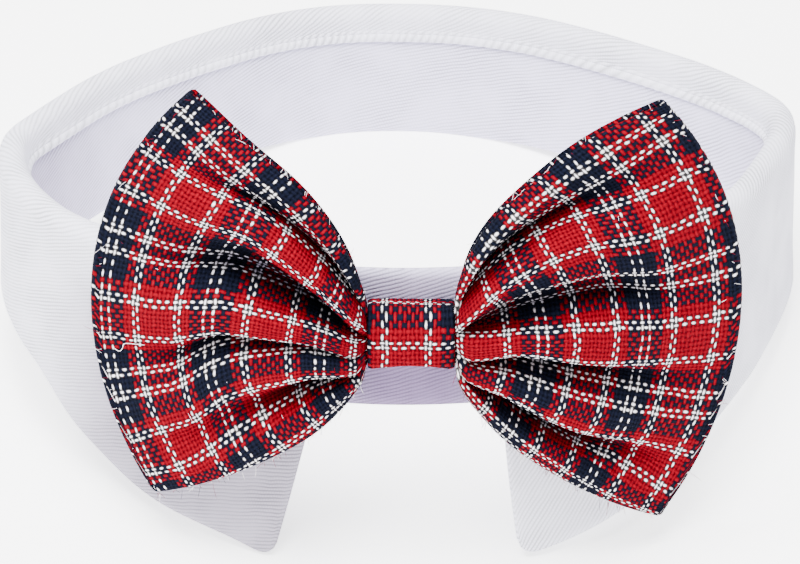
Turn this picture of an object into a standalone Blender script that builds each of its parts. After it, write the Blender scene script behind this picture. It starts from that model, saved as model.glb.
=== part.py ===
"""Pet bow tie collar: a white shirt collar for a neck, with a plaid bow on its front.

Metres, +Z up, the bow faces -Y and +X is to the right as one looks at it.
The pieces are modelled in the collar's own frame, where the fold of the collar lies in the plane z = 0.
An empty then tilts them, so that the collar rests on its two points and on the back of its stand.
"""

import math
from collections import namedtuple

import bmesh
import bpy
from mathutils import Vector

MM = 0.001

# Collar: plan of the fold, and heights below it
HALF_WIDTH = 64.0 * MM
HALF_DEPTH = 52.8 * MM
STAND_WALL = 1.6 * MM
LEAF_WALL = 1.2 * MM
FALL_CLEARANCE = 1.8 * MM
SEAM_DROP = 5.5 * MM
STAND_HEIGHT = 18.4 * MM
STAND_FRONT_DROP = 0.5 * MM
SEAM_GAP = 0.3 * MM

# Leaf: its two front edges and its drop below the fold
POINT_DROP = 49.8 * MM
POINT_RADIUS = 3.5 * MM
POINT_FLARE = 4.0 * MM
SIDE_FLARE = 0.8 * MM
FLARE_REACH = 50.0 * MM
FrontEdge = namedtuple("FrontEdge", "start slant bend")
RIGHT_EDGE = FrontEdge(start=13.2 * MM, slant=2.4 * MM, bend=2.2)
LEFT_EDGE = FrontEdge(start=10.7 * MM, slant=9.8 * MM, bend=1.1)

# Bow
KNOT_X = 1.7 * MM
KNOT_DROP = 7.9 * MM
KNOT_WIDTH = 13.3 * MM
KNOT_HEIGHT = 12.1 * MM
KNOT_BACK_HEIGHT = 6.8 * MM
KNOT_WALL = 1.0 * MM
KNOT_CLEARANCE = 0.35 * MM
LEFT_LENGTH = 41.3 * MM
RIGHT_LENGTH = 43.0 * MM
WAIST_SPREAD = 6.0 * MM
BOW_WALL = 1.0 * MM
BOW_SWEEP = 9.0 * MM
WAIST_GAP = 2.2 * MM
END_GAP = 2.0 * MM
FRONT_BULGE = 4.0 * MM
BACK_BULGE = 0.6 * MM
FRONT_LIFT = 1.3 * MM
BACK_SAG = 1.3 * MM
FOLD_DEPTH = 1.9 * MM
BOW_CLEARANCE = 0.8 * MM
SEAT_GAP = 0.3 * MM

# How far the cloth flattens where the collar rests
SETTLE = 0.4 * MM

# Plan of the fold, seen from above, as shares of the half width and the half depth
Station = namedtuple("Station", "name across back")
PLAN = (
    Station("front", 0.03, -1.017),
    Station("front_right", 0.47, -0.90),
    Station("near_right", 0.80, -0.54),
    Station("right_front", 0.95, -0.16),
    Station("right_crease", 1.0, 0.08),
    Station("right_back", 0.955, 0.27),
    Station("far_right", 0.75, 0.55),
    Station("back_right", 0.36, 0.892),
    Station("back", 0.0, 0.995),
    Station("back_left", -0.35, 0.905),
    Station("far_left", -0.73, 0.515),
    Station("left_back", -0.935, 0.13),
    Station("left_crease", -1.0, -0.09),
    Station("left_front", -0.935, -0.42),
    Station("near_left", -0.76, -0.70),
    Station("front_left", -0.42, -0.925),
)

# The leaf's drop, as a share of the points', by the way from a point to the middle of the back
Drop = namedtuple("Drop", "name way drop")
RIGHT_DROP = (
    Drop("point", 0.00, 0.985),
    Drop("front", 0.06, 0.935),
    Drop("corner", 0.20, 0.790),
    Drop("near_side", 0.30, 0.700),
    Drop("side", 0.42, 0.640),
    Drop("far_side", 0.53, 0.570),
    Drop("quarter", 0.75, 0.510),
    Drop("back", 1.00, 0.470),
)
LEFT_DROP = (
    Drop("point", 0.00, 1.000),
    Drop("front", 0.05, 0.935),
    Drop("corner", 0.12, 0.875),
    Drop("near_side", 0.20, 0.750),
    Drop("side", 0.30, 0.570),
    Drop("far_side", 0.45, 0.515),
    Drop("quarter", 0.75, 0.490),
    Drop("back", 1.00, 0.470),
)

# The bow's folds, from its top edge down. A yarn is counted across the strip. The angles, in degrees above
# the horizontal, are those of the fold's line as seen from the waist, by the way out along the wing.
# The relief is 1 on a ridge and -1 in a valley.
STRIP_YARNS = 92
Fold = namedtuple("Fold", "name yarn quarter half three_quarters end relief")
LEFT_FOLDS = (
    Fold("top_edge", 0, 72, 64, 56, 52, 0.3),
    Fold("ridge_1", 4, 64, 57, 51, 48, 1.0),
    Fold("valley_1", 12, 55, 48, 43, 41, -1.0),
    Fold("ridge_2", 21, 44, 39, 34, 32, 1.0),
    Fold("crease_2", 27, 36, 34, 28, 25, 0.4),
    Fold("valley_2", 35, 30, 26, 19, 16, -1.0),
    Fold("ridge_3", 46, 17, 13, 7, 3, 1.0),
    Fold("crease_3", 53, 7, 5, -2, -5, 0.5),
    Fold("valley_3", 59, 2, 0, -9, -10, -1.0),
    Fold("ridge_4", 69, -9, -10, -18, -19, 0.9),
    Fold("valley_4", 78, -24, -25, -28, -28, -0.8),
    Fold("ridge_5", 88, -45, -41, -38, -34, 0.7),
    Fold("bottom_edge", 92, -55, -46, -41, -37, 0.4),
)
RIGHT_FOLDS = (
    Fold("top_edge", 0, 75, 63, 54, 45, 0.3),
    Fold("ridge_1", 4, 67, 56, 49, 43, 1.0),
    Fold("valley_1", 12, 52, 45, 38, 34, -1.0),
    Fold("ridge_2", 22, 40, 34, 26, 23, 1.0),
    Fold("crease_2", 30, 28, 23, 16, 13, 0.3),
    Fold("valley_2", 37, 16, 13, 7, 5, -0.9),
    Fold("ridge_3", 46, 4, 1, -2, -3, 1.0),
    Fold("crease_3", 53, -9, -10, -10, -10, 0.4),
    Fold("valley_3", 58, -16, -15, -15, -14, -0.9),
    Fold("ridge_4", 68, -29, -28, -25, -23, 0.9),
    Fold("valley_4", 79, -43, -39, -34, -33, -1.0),
    Fold("ridge_5", 88, -53, -47, -43, -40, 0.8),
    Fold("bottom_edge", 92, -59, -52, -46, -42, 0.4),
)
WING_STATIONS = (0.0, 0.25, 0.5, 0.75, 1.0)
RELIEF_OUTWARD = (0.25, 1.0, 0.8, 0.45, 0.1)
WAIST_SPLAY = 1.5
BULGE_STATIONS = (0.0, 0.12, 0.45, 0.8, 1.0)
BULGE_OUTWARD = (0.0, 0.6, 1.0, 0.5, 0.0)
BACK_RELIEF = 0.5
BACK_WAIST = 0.8

# How finely the cloth is faceted
PLAN_STEPS = 24
PLAN_SMOOTHING = 12
BAND_COLUMNS = 64
LEAF_COLUMNS = 54
ROLL_STEPS = 5
LEAF_ROWS = (0.2, 0.45, 0.72, 1.0)
POINT_COLUMNS = (0.0, 0.12, 0.4, 1.0)
WING_STEPS = (1.0, 0.88, 0.74, 0.6, 0.46, 0.33, 0.21, 0.1, 0.0)
ROWS_PER_FOLD = 2
KNOT_SIDES = 20
KNOT_COLUMNS = 5

WHITE_TWILL = ("white_twill", (0.80, 0.80, 0.82, 1.0), 0.85)
RED_PLAID = ("red_plaid", (0.50, 0.02, 0.05, 1.0), 0.8)

STAND_TOP = SEAM_DROP + SEAM_GAP
STAND_BOTTOM = STAND_TOP + STAND_HEIGHT
ROLL_RADIUS = (STAND_WALL / 2 + LEAF_WALL / 2 + FALL_CLEARANCE) / 2
ROLL_DROP = ROLL_RADIUS + LEAF_WALL / 2
WAIST_HALF = KNOT_HEIGHT / 2 - KNOT_WALL - KNOT_CLEARANCE - 0.06 * KNOT_HEIGHT


def curve_through(knots, values):
    """A smooth curve through the knots that doesn't overshoot them, as a function."""
    steps = [b - a for a, b in zip(knots, knots[1:])]
    rises = [(b - a) / h for a, b, h in zip(values, values[1:], steps)]
    slopes = [rises[0]]
    for before, after in zip(rises, rises[1:]):
        together = before * after > 0
        slopes.append(2 * before * after / (before + after) if together else 0.0)
    slopes.append(rises[-1])

    def read(x):
        x = min(max(x, knots[0]), knots[-1])
        i = 0
        while i < len(steps) - 1 and x > knots[i + 1]:
            i += 1
        h = steps[i]
        t = (x - knots[i]) / h
        near = (1 + 2 * t) * (1 - t) ** 2 * values[i] + t * (1 - t) ** 2 * h * slopes[i]
        far = t * t * (3 - 2 * t) * values[i + 1] + t * t * (t - 1) * h * slopes[i + 1]
        return near + far

    return read


def ease(x):
    """0 below 0, 1 above 1 and smooth between."""
    x = min(max(x, 0.0), 1.0)
    return x * x * (3 - 2 * x)


class Plan:
    """The closed line of the fold, read by the way along it from the knot to the right."""

    def __init__(self):
        marks = [Vector((s.across * HALF_WIDTH, s.back * HALF_DEPTH)) for s in PLAN]
        line = []
        for i, mark in enumerate(marks):
            before, after, later = marks[i - 1], marks[(i + 1) % len(marks)], marks[(i + 2) % len(marks)]
            for k in range(PLAN_STEPS):
                t = k / PLAN_STEPS
                bend = (2 * before - 5 * mark + 4 * after - later) * t * t
                twist = (3 * mark - before - 3 * after + later) * t ** 3
                line.append(mark + ((after - before) * t + bend + twist) / 2)
        for _ in range(PLAN_SMOOTHING):
            line = [(line[i - 1] + 2 * p + line[(i + 1) % len(line)]) / 4 for i, p in enumerate(line)]
        front = [i for i, p in enumerate(line) if p.y < 0]
        start = min(front, key=lambda i: abs(line[i].x - KNOT_X))
        self.line = line[start:] + line[:start]
        self.ways = [0.0]
        for i, p in enumerate(self.line):
            self.ways.append(self.ways[-1] + (self.line[(i + 1) % len(self.line)] - p).length)
        self.length = self.ways[-1]

    def at(self, way):
        """The point and the outward direction, way metres along the line."""
        way %= self.length
        low, high = 0, len(self.line)
        while high - low > 1:
            middle = (low + high) // 2
            if self.ways[middle] <= way:
                low = middle
            else:
                high = middle
        a, b = self.line[low], self.line[(low + 1) % len(self.line)]
        point = a.lerp(b, (way - self.ways[low]) / (self.ways[low + 1] - self.ways[low]))
        ahead = self.line[(low + 3) % len(self.line)] - self.line[low - 2]
        return point, Vector((ahead.y, -ahead.x)).normalized()

    def out(self, way, offset, z):
        """The point at a way along the line, an offset outside it and a height z."""
        point, outward = self.at(way)
        point = point + outward * offset
        return Vector((point.x, point.y, z))


def wall_of(name, rows, wall, material, closed_rows=False, closed_columns=False):
    """A closed wall of one thickness whose middle surface passes through the rows of points."""
    count, width = len(rows), len(rows[0])

    def neighbours(i, size, closed):
        if closed:
            return (i - 1) % size, (i + 1) % size
        return max(i - 1, 0), min(i + 1, size - 1)

    mesh = bmesh.new()
    sides = {1: [], -1: []}
    for i in range(count):
        up, down = neighbours(i, count, closed_rows)
        for side in sides:
            sides[side].append([])
        for j in range(width):
            left, right = neighbours(j, width, closed_columns)
            across = rows[i][right] - rows[i][left]
            along = rows[down][j] - rows[up][j]
            normal = across.cross(along).normalized()
            for side, grid in sides.items():
                grid[i].append(mesh.verts.new(rows[i][j] + normal * (side * wall / 2)))
    tall = count if closed_rows else count - 1
    wide = width if closed_columns else width - 1
    for grid in sides.values():
        for i in range(tall):
            for j in range(wide):
                a, b = grid[i][j], grid[i][(j + 1) % width]
                c, d = grid[(i + 1) % count][(j + 1) % width], grid[(i + 1) % count][j]
                mesh.faces.new((a, b, c, d))
    if not closed_rows:
        for i in (0, count - 1):
            for j in range(wide):
                k = (j + 1) % width
                mesh.faces.new((sides[1][i][j], sides[1][i][k], sides[-1][i][k], sides[-1][i][j]))
    if not closed_columns:
        for j in (0, width - 1):
            for i in range(tall):
                k = (i + 1) % count
                mesh.faces.new((sides[1][i][j], sides[1][k][j], sides[-1][k][j], sides[-1][i][j]))
    bmesh.ops.recalc_face_normals(mesh, faces=mesh.faces)
    return finished(name, mesh, material)


def finished(name, mesh, material):
    """The bmesh as an object of its own, in its own material."""
    data = bpy.data.meshes.new(name)
    mesh.to_mesh(data)
    mesh.free()
    label, colour, roughness = material
    finish = bpy.data.materials.get(label) or bpy.data.materials.new(label)
    finish.use_nodes = True
    shader = finish.node_tree.nodes["Principled BSDF"]
    shader.inputs["Base Color"].default_value = colour
    shader.inputs["Roughness"].default_value = roughness
    data.materials.append(finish)
    data.shade_smooth()
    piece = bpy.data.objects.new(name, data)
    bpy.context.scene.collection.objects.link(piece)
    return piece


def neck_band(plan):
    """The stand: a closed band whose top edge rises where no leaf lies over it."""
    front = [k * 1.5 * MM for k in range(-11, 12)]
    rest_of_way = plan.length - front[-1] + front[0]
    ways = front + [front[-1] + rest_of_way * k / BAND_COLUMNS for k in range(1, BAND_COLUMNS)]

    def top(way):
        if way > plan.length / 2:
            way -= plan.length
        edge = RIGHT_EDGE.start if way > 0 else LEFT_EDGE.start
        rise = ease((edge - 0.5 * MM - abs(way)) / (3 * MM))
        return -(STAND_TOP + (STAND_FRONT_DROP - STAND_TOP) * rise)

    def column(way):
        return [-STAND_BOTTOM + (top(way) + STAND_BOTTOM) * share for share in (0.0, 0.5, 1.0)]

    heights = [column(way) for way in ways]
    rows = [[plan.out(way, -ROLL_RADIUS, z[i]) for way, z in zip(ways, heights)] for i in range(3)]
    return wall_of("neck_band", rows, STAND_WALL, WHITE_TWILL, closed_columns=True)


def leaf_drop(table, way_from_point, whole):
    """How far below the fold the leaf's lower edge lies, with the point's corner rounded."""
    shape = curve_through([d.way for d in table], [d.drop for d in table])
    drop = POINT_DROP * shape(way_from_point / (whole / 2))
    inside = max(0.0, 1 - way_from_point / POINT_RADIUS)
    return drop - POINT_RADIUS * (1 - math.sqrt(1 - inside * inside))


def edge_way(edge, share):
    """How far from the knot's middle a front edge lies, a share of the way down it."""
    return edge.start + edge.slant * share ** edge.bend


def leaf_ways(plan):
    """The leaf's columns, by the way from its right point to its left one along the lower edge."""
    whole = plan.length - edge_way(RIGHT_EDGE, 1) - edge_way(LEFT_EDGE, 1)
    near = [share * POINT_RADIUS for share in POINT_COLUMNS]
    between = whole - 2 * POINT_RADIUS
    middle = [POINT_RADIUS + between * k / LEAF_COLUMNS for k in range(1, LEAF_COLUMNS)]
    return near + middle + [whole - way for way in reversed(near)], whole


def collar_leaf(plan):
    """The fall: up from the seam, over the fold and down outside the stand, to the lower edge."""
    ways, whole = leaf_ways(plan)
    columns = []
    for way in ways:
        from_point = min(way, whole - way)
        drop = leaf_drop(RIGHT_DROP if way < whole / 2 else LEFT_DROP, from_point, whole)
        flare = SIDE_FLARE + (POINT_FLARE - SIDE_FLARE) * (1 - ease(from_point / FLARE_REACH))
        section = [(-ROLL_RADIUS, -SEAM_DROP, 0.0)]
        for k in range(ROLL_STEPS + 1):
            turn = math.pi * (1 - k / ROLL_STEPS)
            section.append((ROLL_RADIUS * math.cos(turn), ROLL_RADIUS * math.sin(turn) - ROLL_DROP, 0.0))
        for share in LEAF_ROWS:
            z = -ROLL_DROP - (drop - ROLL_DROP) * share
            section.append((ROLL_RADIUS + flare * share ** 1.5, z, share))
        column = []
        for offset, z, share in section:
            right = edge_way(RIGHT_EDGE, share)
            left = plan.length - edge_way(LEFT_EDGE, share)
            column.append(plan.out(right + (left - right) * way / whole, offset, z))
        columns.append(column)
    return wall_of("collar_leaf", columns, LEAF_WALL, WHITE_TWILL)


def bow_front(plan):
    """How far forward the middle of the bow's waist lies, clear of the leaf behind its wings."""
    front = plan.at(0)[0].y
    leaf_face = ROLL_RADIUS + LEAF_WALL / 2
    return front - leaf_face - BOW_CLEARANCE - WAIST_GAP / 2 - BOW_WALL / 2 - BACK_BULGE


def wing_rows(folds, share):
    """The angle and the relief of each fold line, a share of the way out along the wing."""
    angles = []
    for fold in folds:
        waist = fold.quarter + (fold.quarter - fold.half) * WAIST_SPLAY
        line = curve_through(WING_STATIONS, (waist, fold.quarter, fold.half, fold.three_quarters, fold.end))
        angles.append(line(share))
    yarns = [fold.yarn for fold in folds]
    return curve_through(yarns, angles), curve_through(yarns, [fold.relief for fold in folds])


def strip_yarns(folds):
    """The yarns at which the cloth is faceted: each fold line and the ones between."""
    marks = [fold.yarn for fold in folds]
    yarns = []
    for a, b in zip(marks, marks[1:]):
        yarns += [a + (b - a) * k / ROWS_PER_FOLD for k in range(ROWS_PER_FOLD)]
    return yarns + [marks[-1]]


def wing_line(plan, side, share, layer, yarns):
    """One line of cloth across a wing, from its top edge to its bottom edge.

    side is 1 for the right wing and -1 for the left, layer is -1 in front and 1 behind.
    """
    length = RIGHT_LENGTH if side > 0 else LEFT_LENGTH
    angle, relief = wing_rows(RIGHT_FOLDS if side > 0 else LEFT_FOLDS, share)
    depth = FOLD_DEPTH * curve_through(WING_STATIONS, RELIEF_OUTWARD)(share)
    bulge = curve_through(BULGE_STATIONS, BULGE_OUTWARD)(share)
    gap = (WAIST_GAP + (END_GAP - WAIST_GAP) * share) / 2
    waist = WAIST_HALF * (BACK_WAIST if layer > 0 else 1)
    waist += (WAIST_SPREAD - waist) * ease(share / WING_STATIONS[1])
    points = []
    for yarn in yarns:
        turn = math.radians(angle(yarn))
        reach = share * length * math.cos(turn)
        rise = waist * (1 - 2 * yarn / STRIP_YARNS) + share * length * math.sin(turn)
        fold = relief(yarn) * depth * (BACK_RELIEF if layer > 0 else 1)
        swell = (BACK_BULGE if layer > 0 else FRONT_BULGE) * bulge
        sweep = BOW_SWEEP * (reach / length) ** 2
        points.append(
            Vector((
                KNOT_X + side * (KNOT_WIDTH / 2 + KNOT_CLEARANCE + reach),
                bow_front(plan) + layer * (gap + swell) - fold + sweep,
                rise - KNOT_DROP + (-BACK_SAG if layer > 0 else FRONT_LIFT) * bulge,
            ))
        )
    return points


def folded_end(front, back, side):
    """The line of cloth at a wing's folded outer end, half way round the fold, flatter at its corners."""
    line = []
    for k, (a, b) in enumerate(zip(front, back)):
        from_middle = abs(2 * k / (len(front) - 1) - 1)
        line.append((a + b) / 2 + Vector((side * END_GAP / 2 * (1 - 0.6 * from_middle ** 3), 0, 0)))
    return line


def bow_loops(plan):
    """The bow: one strip of cloth, front panel, folded ends and back panel, pinched at the waist."""
    yarns = strip_yarns(LEFT_FOLDS)
    front_left = [wing_line(plan, -1, share, -1, yarns) for share in WING_STEPS]
    front_right = [wing_line(plan, 1, share, -1, yarns) for share in WING_STEPS]
    back_left = [wing_line(plan, -1, share, 1, yarns) for share in WING_STEPS[::2]]
    back_right = [wing_line(plan, 1, share, 1, yarns) for share in WING_STEPS[::2]]
    rows = front_left
    rows += front_right[::-1]
    rows.append(folded_end(front_right[0], back_right[0], 1))
    rows += back_right
    rows += back_left[::-1]
    rows.append(folded_end(front_left[0], back_left[0], -1))
    return wall_of("bow_loops", rows, BOW_WALL, RED_PLAID, closed_rows=True)


def bow_knot(plan):
    """The wrap round the waist: a ring that is tall in front and low where it meets the stand."""
    stand_face = plan.at(0)[0].y + ROLL_RADIUS - STAND_WALL / 2
    back = stand_face - SEAT_GAP - KNOT_WALL / 2
    waist_front = bow_front(plan) - WAIST_GAP / 2 - FOLD_DEPTH * RELIEF_OUTWARD[0] - BOW_WALL / 2
    front = waist_front - KNOT_CLEARANCE - KNOT_WALL / 2
    middle, half_depth = (front + back) / 2, (back - front) / 2
    tall, low = (KNOT_HEIGHT - KNOT_WALL) / 2, (KNOT_BACK_HEIGHT - KNOT_WALL) / 2
    squareness = 0.4
    rows = []
    for k in range(KNOT_SIDES):
        turn = 2 * math.pi * k / KNOT_SIDES
        out = math.copysign(abs(math.cos(turn)) ** squareness, math.cos(turn))
        up = math.copysign(abs(math.sin(turn)) ** squareness, math.sin(turn))
        height = tall + (low - tall) * (1 + out) / 2
        row = []
        for j in range(KNOT_COLUMNS):
            across = (2 * j / (KNOT_COLUMNS - 1) - 1) * KNOT_WIDTH / 2
            row.append(Vector((KNOT_X + across, middle + half_depth * out, height * up - KNOT_DROP)))
        rows.append(row)
    return wall_of("bow_knot", rows, KNOT_WALL, RED_PLAID, closed_rows=True)


def settle(pieces, plan):
    """Flattens the cloth on the floor's plane, and returns the plane's slope and height at y = 0."""
    back = plan.out(plan.length / 2, -ROLL_RADIUS, -STAND_BOTTOM)
    point = plan.out(edge_way(LEFT_EDGE, 1) * -1, ROLL_RADIUS + POINT_FLARE, -POINT_DROP)
    slope = (back.z - point.z) / (back.y - point.y)
    level = back.z + SETTLE - slope * back.y
    for piece in pieces:
        for vertex in piece.data.vertices:
            vertex.co.z = max(vertex.co.z, level + slope * vertex.co.y)
    return slope, level


def stand_on_floor(pieces, slope, level):
    """Parents the pieces to an empty that tilts them onto the floor, centred over the origin."""
    tilt = math.atan(slope)
    base = bpy.data.objects.new("tilt", None)
    bpy.context.scene.collection.objects.link(base)
    base.rotation_euler.x = -tilt
    turned = [v.co.y * math.cos(tilt) + v.co.z * math.sin(tilt) for p in pieces for v in p.data.vertices]
    across = [v.co.x for p in pieces for v in p.data.vertices]
    base.location = (
        -(min(across) + max(across)) / 2,
        -(min(turned) + max(turned)) / 2,
        -level * math.cos(tilt),
    )
    for piece in pieces:
        piece.parent = base


def main():
    for old in list(bpy.data.objects):
        bpy.data.objects.remove(old, do_unlink=True)
    plan = Plan()
    pieces = [neck_band(plan), collar_leaf(plan), bow_loops(plan), bow_knot(plan)]
    slope, level = settle(pieces, plan)
    stand_on_floor(pieces, slope, level)


main()
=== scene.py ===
"""The looks of a pet's bow tie collar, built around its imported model."""

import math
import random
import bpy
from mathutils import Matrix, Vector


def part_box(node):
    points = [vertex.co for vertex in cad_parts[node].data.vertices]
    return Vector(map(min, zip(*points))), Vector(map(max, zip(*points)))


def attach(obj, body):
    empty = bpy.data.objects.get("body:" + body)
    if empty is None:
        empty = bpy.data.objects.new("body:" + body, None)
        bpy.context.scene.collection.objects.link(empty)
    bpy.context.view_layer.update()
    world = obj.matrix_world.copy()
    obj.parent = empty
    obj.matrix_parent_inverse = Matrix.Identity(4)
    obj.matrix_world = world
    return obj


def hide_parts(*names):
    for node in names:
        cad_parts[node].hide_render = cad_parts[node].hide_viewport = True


bl_info = {
    "name": "Pet Bow Tie Collar",
    "version": (1, 0, 0),
    "blender": (4, 5, 0),
    "location": "View3D > Sidebar > Bow Collar",
    "description": "A white twill collar with a gathered plaid bow on its front",
    "category": "Object",
}

from collections import namedtuple

import bmesh
import bpy
from bpy.props import FloatProperty, FloatVectorProperty, PointerProperty
from mathutils import Matrix, Vector, noise

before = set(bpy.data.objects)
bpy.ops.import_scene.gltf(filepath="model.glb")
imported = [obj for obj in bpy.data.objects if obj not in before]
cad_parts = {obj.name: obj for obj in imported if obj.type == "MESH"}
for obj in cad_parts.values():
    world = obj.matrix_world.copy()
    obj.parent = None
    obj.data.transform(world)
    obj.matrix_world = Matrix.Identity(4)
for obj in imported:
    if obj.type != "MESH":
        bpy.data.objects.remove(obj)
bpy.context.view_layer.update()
MM = 0.001


def table(kind, *rows):
    """Rows of one kind, each with its numbers by name."""
    return tuple(kind(*row) for row in rows)


# Plan of the fold, seen from above, as shares of the half width and the half depth
Station = namedtuple("Station", "name across back")
PLAN = table(
    Station,
    ("front", 0.03, -1.017),
    ("front_right", 0.47, -0.90),
    ("near_right", 0.80, -0.54),
    ("right_front", 0.95, -0.16),
    ("right_crease", 1.0, 0.08),
    ("right_back", 0.955, 0.27),
    ("far_right", 0.75, 0.55),
    ("back_right", 0.36, 0.892),
    ("back", 0.0, 0.995),
    ("back_left", -0.35, 0.905),
    ("far_left", -0.73, 0.515),
    ("left_back", -0.935, 0.13),
    ("left_crease", -1.0, -0.09),
    ("left_front", -0.935, -0.42),
    ("near_left", -0.76, -0.70),
    ("front_left", -0.42, -0.925),
)

# The leaf's drop, as a share of the points', by the way from a point to the middle of the back
Drop = namedtuple("Drop", "name way drop")
RIGHT_DROP = table(
    Drop,
    ("point", 0.00, 0.985),
    ("front", 0.06, 0.935),
    ("corner", 0.20, 0.790),
    ("near_side", 0.30, 0.700),
    ("side", 0.42, 0.640),
    ("far_side", 0.53, 0.570),
    ("quarter", 0.75, 0.510),
    ("back", 1.00, 0.470),
)
LEFT_DROP = table(
    Drop,
    ("point", 0.00, 1.000),
    ("front", 0.05, 0.935),
    ("corner", 0.12, 0.875),
    ("near_side", 0.20, 0.750),
    ("side", 0.30, 0.570),
    ("far_side", 0.45, 0.515),
    ("quarter", 0.75, 0.490),
    ("back", 1.00, 0.470),
)

# The slant of the twill's ribs, in degrees up from the fold's line, by the share of the way round
Slant = namedtuple("Slant", "share angle")
LEAF_SLANT = table(
    Slant,
    (0.0, 53), (0.06, 50), (0.2, 30), (0.29, 27), (0.34, 14), (0.4, 20),
    (0.5, 28), (0.62, 24), (0.7, 15), (0.82, 24), (1.0, 3),
)
STAND_SLANT = table(
    Slant,
    (0.0, 17), (0.05, 17), (0.14, -34), (0.3, -32), (0.38, -24), (0.44, -15),
    (0.5, -12), (0.57, -17), (0.7, -25), (0.86, -25), (0.95, 17), (1.0, 17),
)

# Each front edge of the leaf: its way from the knot at the fold, its slant and how late it slants
FrontEdge = namedtuple("FrontEdge", "start slant bend")
RIGHT_EDGE = FrontEdge(start=13.2 * MM, slant=2.4 * MM, bend=2.2)
LEFT_EDGE = FrontEdge(start=10.7 * MM, slant=9.8 * MM, bend=1.1)

# The bow's folds, from the top edge of each loop down. A yarn is counted across the strip. The angles, in
# degrees above the horizontal, are those of the fold's line as seen from the waist, by the way out along the
# loop. The reliefs are in millimetres, towards the viewer, near the waist, half way out and near the end.
Fold = namedtuple("Fold", "name yarn quarter half three_quarters end near middle far")
LEFT_FOLDS = table(
    Fold,
    ("top_edge", 0, 72, 64, 56, 52, 0.5, 0.5, 0.0),
    ("ridge_1", 3, 67, 59.5, 53, 50, 1.6, 1.0, 0.2),
    ("slope_1", 8, 60, 52.5, 47, 45, -1.0, -0.7, 0.0),
    ("valley_1", 12, 58, 50, 43, 41, -2.4, -1.8, -0.3),
    ("rise_2", 17, 55, 48, 40, 37, -0.1, 0.1, 0.1),
    ("ridge_2", 22, 49, 44, 34.5, 31, 2.3, 1.8, 0.5),
    ("crease_2", 27, 42, 39, 29.5, 25.5, 2.0, 1.4, 0.3),
    ("under_2", 30, 39, 35, 26, 22.5, -1.8, -1.2, 0.0),
    ("valley_2", 35, 32.5, 28, 19, 16.5, -2.7, -2.2, -0.4),
    ("rise_3", 40, 24, 21, 13.5, 11, -0.6, -0.5, -0.1),
    ("ridge_3", 47, 15, 12, 4.5, 2, 2.3, 1.9, 0.5),
    ("crease_3", 53, 7, 5, -2, -3.5, 1.7, 1.3, 0.3),
    ("valley_3", 58, 5.5, 2, -7, -8, -2.4, -1.8, -0.3),
    ("rise_4", 63, 4.5, -2, -11.5, -12.5, 0.0, -0.2, 0.0),
    ("ridge_4", 68, -2, -8, -17, -18, 2.1, 1.3, 0.4),
    ("crease_4", 73, -13, -16, -23, -23, 1.8, 0.8, 0.2),
    ("valley_4", 78, -24, -24.5, -28, -27.5, -2.2, -1.0, -0.2),
    ("ridge_5", 86, -40, -38, -37, -33, 1.0, 0.7, 0.3),
    ("bottom_edge", 92, -55, -46, -41, -37, 0.3, 0.2, 0.0),
)
RIGHT_FOLDS = table(
    Fold,
    ("top_edge", 0, 75, 63, 54, 45, 0.3, 0.5, 0.0),
    ("ridge_1", 4, 69, 57.5, 49, 43, 2.0, 1.4, 0.3),
    ("slope_1", 8, 61.5, 50.5, 43, 39, -1.3, -0.8, 0.0),
    ("valley_1", 11, 59, 47.5, 39.5, 36, -2.4, -1.6, -0.3),
    ("rise_2", 16, 55, 44, 34, 30, -0.5, 0.1, 0.1),
    ("ridge_2", 23, 47, 36.5, 25, 22, 2.5, 1.9, 0.5),
    ("crease_2", 30, 32.5, 25, 15.5, 13.8, 0.2, 1.1, 0.2),
    ("under_2", 33, 26, 20.5, 12.5, 11, -1.1, -0.8, 0.0),
    ("valley_2", 37, 18.5, 14.5, 7.5, 6, -1.6, -1.7, -0.3),
    ("rise_3", 41, 10, 8, 3.5, 2.5, -0.3, 0.4, 0.1),
    ("ridge_3", 46, 4, 1, -2, -3, 2.5, 2.1, 0.6),
    ("crease_3", 52, -6, -9, -9, -9, 2.0, 1.6, 0.4),
    ("valley_3", 57, -13, -14, -13.5, -13, -2.4, -1.7, -0.4),
    ("rise_4", 62, -21, -20, -19, -18, -0.2, 0.0, 0.0),
    ("ridge_4", 67, -29.5, -27, -24.5, -22.5, 2.0, 1.7, 0.5),
    ("crease_4", 72, -36, -33.5, -29, -27, 1.8, 1.4, 0.3),
    ("valley_4", 78, -42, -38.5, -33, -32, -2.6, -2.1, -0.5),
    ("ridge_5", 88, -53, -46, -42.5, -40, 1.1, 0.9, 0.4),
    ("bottom_edge", 95, -59, -51, -46, -42, 0.3, 0.2, 0.0),
)
FOLD_STATIONS = (0.0, 0.25, 0.5, 0.75, 1.0)
RELIEF_STATIONS = (0.0, 0.06, 0.2, 0.5, 0.85, 1.0)
RELIEF_AT_WAIST = 0.2
RELIEF_PAST_WAIST = 0.75
BULGE_STATIONS = (0.0, 0.05, 0.14, 0.45, 0.8, 1.0)
BULGE_OUTWARD = (0.0, 0.35, 0.7, 1.0, 0.55, 0.0)
BACK_RELIEF = 0.2
BACK_WAIST = 0.8
# The rise, for each step towards the viewer, that keeps a fold's line where it is seen from the front
VIEW_RISE = 0.4536

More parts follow.
